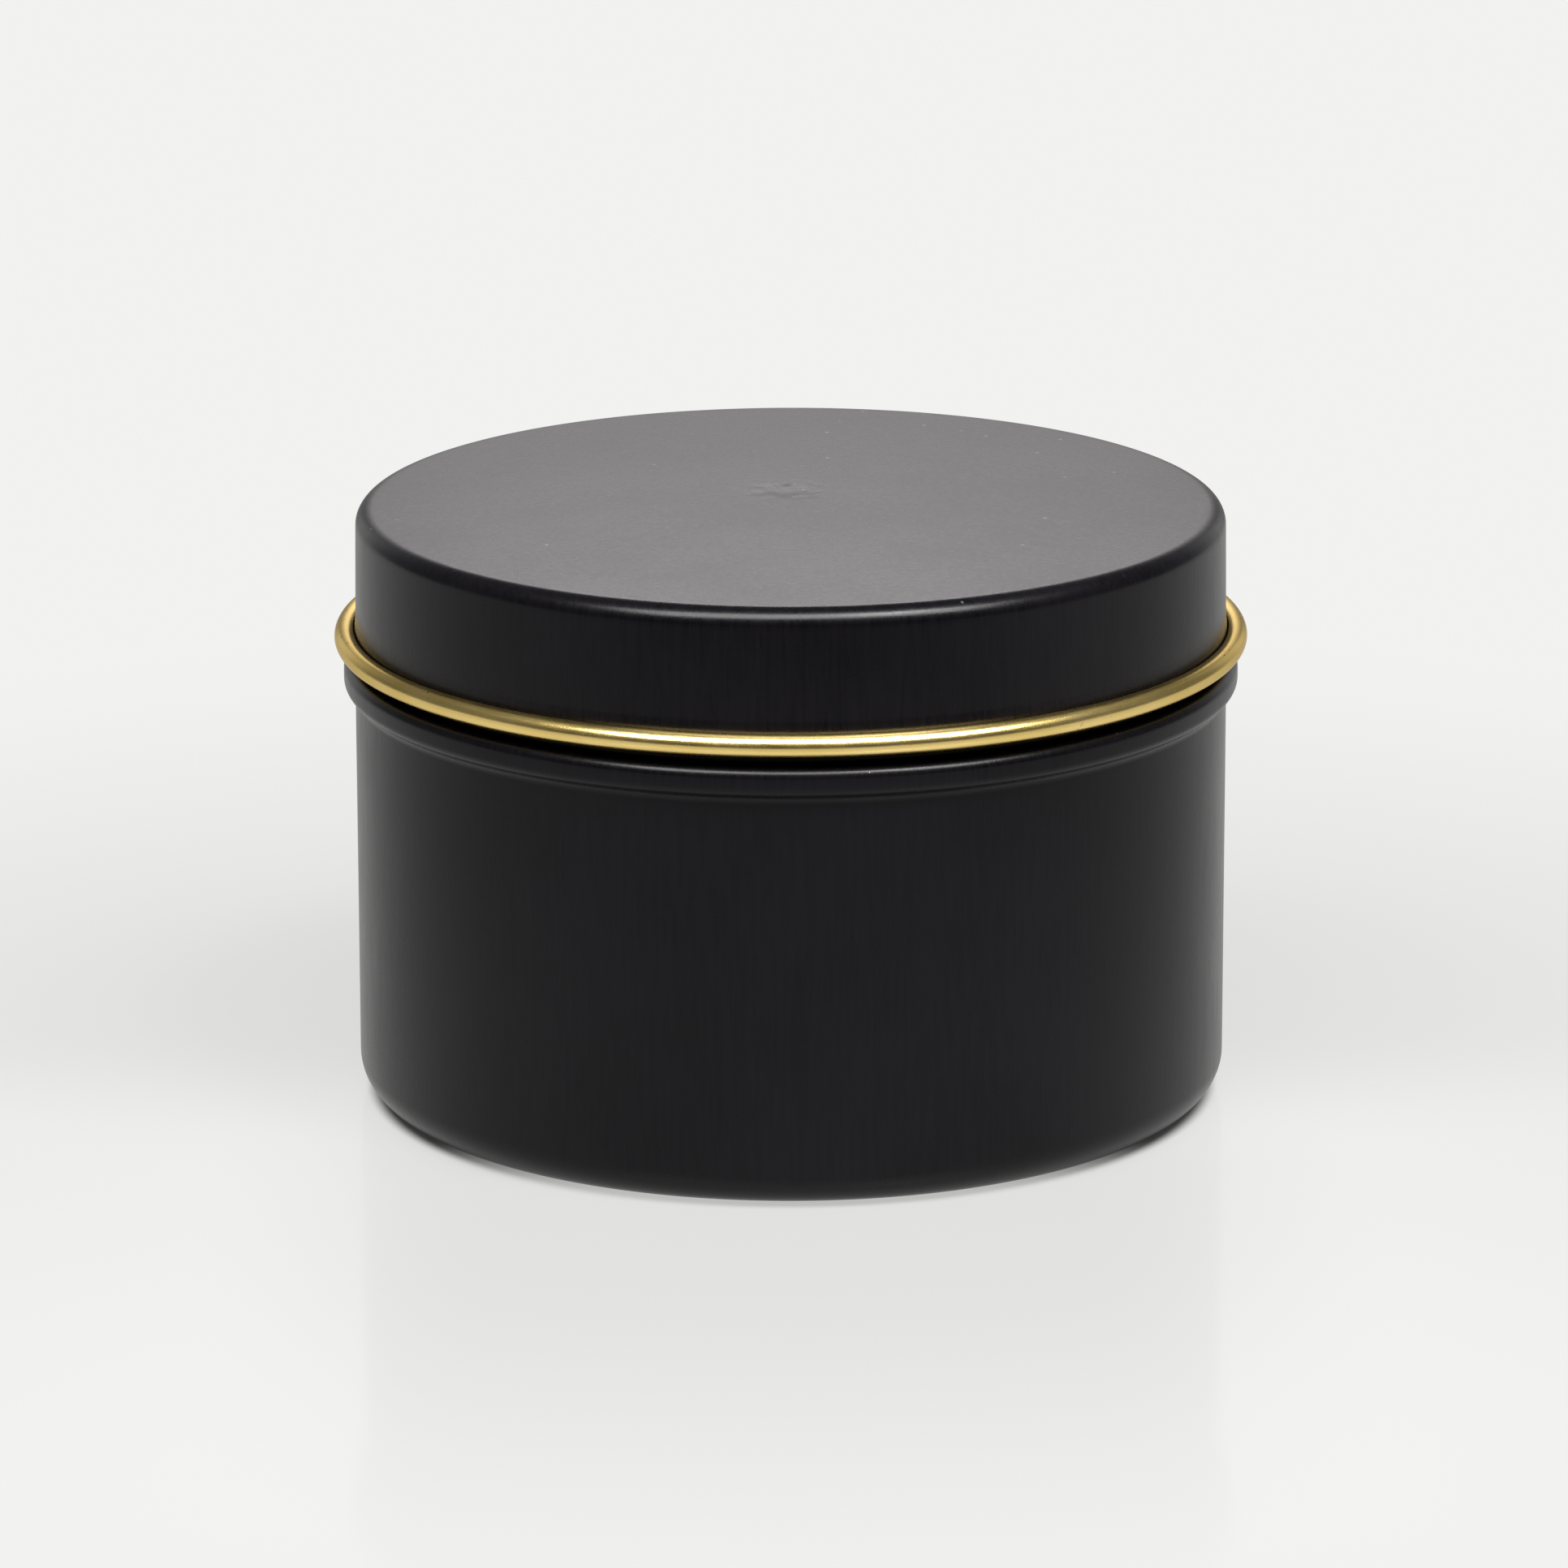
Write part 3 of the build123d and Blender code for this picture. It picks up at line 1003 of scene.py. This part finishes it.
def makeFloor(size):
    mesh = bpy.data.meshes.new("floor")
    count = size["floorSides"]
    ring = [(math.cos(math.tau * i / count), math.sin(math.tau * i / count), 0) for i in range(count)]
    mesh.from_pydata([Vector(p) * size["floorRadius"] * mm for p in ring], [], [list(range(count))])
    floor = bpy.data.objects.new("floor", mesh)
    scene.collection.objects.link(floor)
    material, tree, shader = newMaterial("paleFloor")
    fixed(
        shader, Base_Color=size["floorColor"], Roughness=size["floorRoughness"], Specular_IOR_Level=0.0,
        Coat_Weight=size["coatWeight"], Coat_Roughness=size["coatRoughness"],
        Emission_Color=size["worldTone"],
    )
    place = placeOf(tree)
    part = addNode(tree, "ShaderNodeSeparateXYZ", {0: place}).outputs
    away = lengthOf(tree, place)
    aside = mathOf(tree, "ABSOLUTE", part["X"])

    def between(value, start, end, *shares):
        return rangeOf(tree, value, size[start] * mm, size[end] * mm, *shares)

    # painted light and shade in the floor's glow: brighter in front, with a painted pool of shade close to
    # the tin
    front = productOf(tree, between(part["Y"], "frontGlowFrom", "frontGlowTo"), size["paintedFrontGlow"])
    paintedShadePool = productOf(
        tree, between(away, "coverFar", "coverNear"), between(part["Y"], "coverBack", "coverFront"),
        between(aside, "coverWide", "coverNarrow"),
    )
    glowWithPaintedShade = sumOf(tree, front, productOf(tree, paintedShadePool, size["paintedShadePoolGlow"]), size["floorGlow"])
    # painted contact shade: the glow is cut under the base's corner, less so straight in front
    wall = body["wallRadius"]
    paintedContactShade = rangeOf(tree, away, (wall - size["tuckFrom"]) * mm, (wall - size["tuckTo"]) * mm)
    contactShadeDepth = between(part["Y"], "tuckFront", "tuckBack", size["tuckedFront"], size["tuckedShare"])
    glowWithPaintedShade = productOf(tree, glowWithPaintedShade, mathOf(tree, "SUBTRACT", 1.0, productOf(tree, paintedContactShade, contactShadeDepth)))
    tree.links.new(glowWithPaintedShade, shader.inputs["Emission Strength"])
    far = between(away, "fadeFrom", "fadeTo")
    seen = tree.nodes.new("ShaderNodeLightPath").outputs["Is Camera Ray"]
    strength = rangeOf(tree, seen, 0.0, 1.0, size["reflectedLight"], size["backdropLight"], smooth=False)
    plain = addNode(tree, "ShaderNodeEmission", {"Color": size["worldTone"], "Strength": strength})
    faded = addNode(tree, "ShaderNodeMixShader", {0: far, 1: shader.outputs[0], 2: plain.outputs[0]})
    # painted dark reflection: a little way in front the floor turns dark for every ray but the camera's, so
    # only reflections show it
    ahead = between(part["Y"], "darkReflectionFrom", "darkReflectionTo")
    paintedDarkReflection = productOf(tree, ahead, mathOf(tree, "SUBTRACT", 1.0, seen))
    unlit = addNode(tree, "ShaderNodeEmission", {"Strength": size["unlit"]})
    ended = addNode(tree, "ShaderNodeMixShader", {0: paintedDarkReflection, 1: faded.outputs[0], 2: unlit.outputs[0]})
    tree.links.new(ended.outputs[0], tree.nodes["Material Output"].inputs["Surface"])
    mesh.materials.append(material)


def makeSoftbox(name, size):  # azimuth counts from straight in front, to the right
    light = bpy.data.lights.new(name, "AREA")
    light.shape = "RECTANGLE"
    light.size = size["width"] * mm
    light.size_y = size["height"] * mm
    light.energy = size["power"]
    lamp = bpy.data.objects.new(name, light)
    scene.collection.objects.link(lamp)
    rise, swing = math.radians(size["elevation"]), math.radians(size["azimuth"])
    away = Vector((math.cos(rise) * math.sin(swing), -math.cos(rise) * math.cos(swing), math.sin(rise)))
    lamp.location = away * size["distance"] * mm + Vector((0, 0, lidHigh.z * mm / 2))
    lamp.rotation_mode = "QUATERNION"
    lamp.rotation_quaternion = away.to_track_quat("Z", "Y")


def makeSweepGlow(size):  # the bright sweep behind, which only glossy surfaces show
    wide, high, back = size["width"] * mm / 2, size["height"] * mm, size["behind"] * mm
    mesh = bpy.data.meshes.new("sweepGlow")
    spots = [(-wide, back, 0), (wide, back, 0), (wide, back, high), (-wide, back, high)]
    mesh.from_pydata(spots, [], [(0, 1, 2, 3)])
    material, tree, _ = newMaterial("sweepGlow")
    part = addNode(tree, "ShaderNodeSeparateXYZ", {0: placeOf(tree)}).outputs
    lowHeight, highHeight = size["lowHeight"] * mm, size["highHeight"] * mm
    rise = rangeOf(tree, part["Z"], lowHeight, highHeight, size["low"], size["high"])
    aside = mathOf(tree, "ABSOLUTE", part["X"])
    fall = rangeOf(tree, aside, size["middle"] * mm, size["edge"] * mm, 1.0, size["edgeShare"])
    strength = productOf(tree, rise, fall)
    lamp = addNode(tree, "ShaderNodeEmission", {"Color": size["tone"], "Strength": strength})
    tree.links.new(lamp.outputs[0], tree.nodes["Material Output"].inputs["Surface"])
    mesh.materials.append(material)
    card = bpy.data.objects.new("sweepGlow", mesh)
    scene.collection.objects.link(card)
    card.visible_camera = card.visible_diffuse = card.visible_shadow = False


def makeWorld(size):  # a bright sweep behind, dim sides and ceiling, and a dark room behind the camera
    world = bpy.data.worlds.new("studio")
    world.use_nodes = True
    scene.world = world
    tree = world.node_tree
    heading = tree.nodes.new("ShaderNodeTexCoord").outputs["Generated"]
    way = addNode(tree, "ShaderNodeSeparateXYZ", {0: heading}).outputs
    behind = rangeOf(tree, way["Y"], size["wallFrom"], size["wallTo"])
    low = rangeOf(tree, way["Z"], size["wallTop"], size["wallLow"])
    ahead = rangeOf(tree, way["Y"], size["roomFrom"], size["roomTo"])
    room = mixOf(tree, ahead, size["ceilingLight"], size["frontLight"])
    strength = mixOf(tree, productOf(tree, behind, low), room, size["wallLight"])
    seen = tree.nodes.new("ShaderNodeLightPath").outputs["Is Camera Ray"]
    plain = mixOf(tree, seen, strength, size["backdropLight"])
    background = tree.nodes["Background"]
    background.inputs["Color"].default_value = size["worldTone"]
    tree.links.new(plain, background.inputs["Strength"])


camera = dict(
    elevation=15.46, distance=800, lens=206.8, sensor=36, aimHeight=27.30, sideStep=-0.62, roll=0.097,
    near=50, far=20000,
)


def makeCamera(size):
    data = bpy.data.cameras.new("camera")
    data.lens = size["lens"]
    data.sensor_width = size["sensor"]
    data.clip_start = size["near"] * mm
    data.clip_end = size["far"] * mm
    view = bpy.data.objects.new("camera", data)
    scene.collection.objects.link(view)
    rise = math.radians(size["elevation"])
    back = Vector((0, -math.cos(rise), math.sin(rise)))
    view.location = (back * size["distance"] + Vector((size["sideStep"], 0, size["aimHeight"]))) * mm
    turn = back.to_track_quat("Z", "Y").to_matrix() @ Matrix.Rotation(math.radians(-size["roll"]), 3, "Z")
    view.rotation_mode = "QUATERNION"
    view.rotation_quaternion = turn.to_quaternion()
    scene.camera = view


makeFloor(stage)
makeSoftbox("key", keyLight)
makeSoftbox("sideKey", sideKey)
makeSweepGlow(sweepGlow)
makeWorld(stage)
makeCamera(camera)
print("stage: floor, light and camera placed")
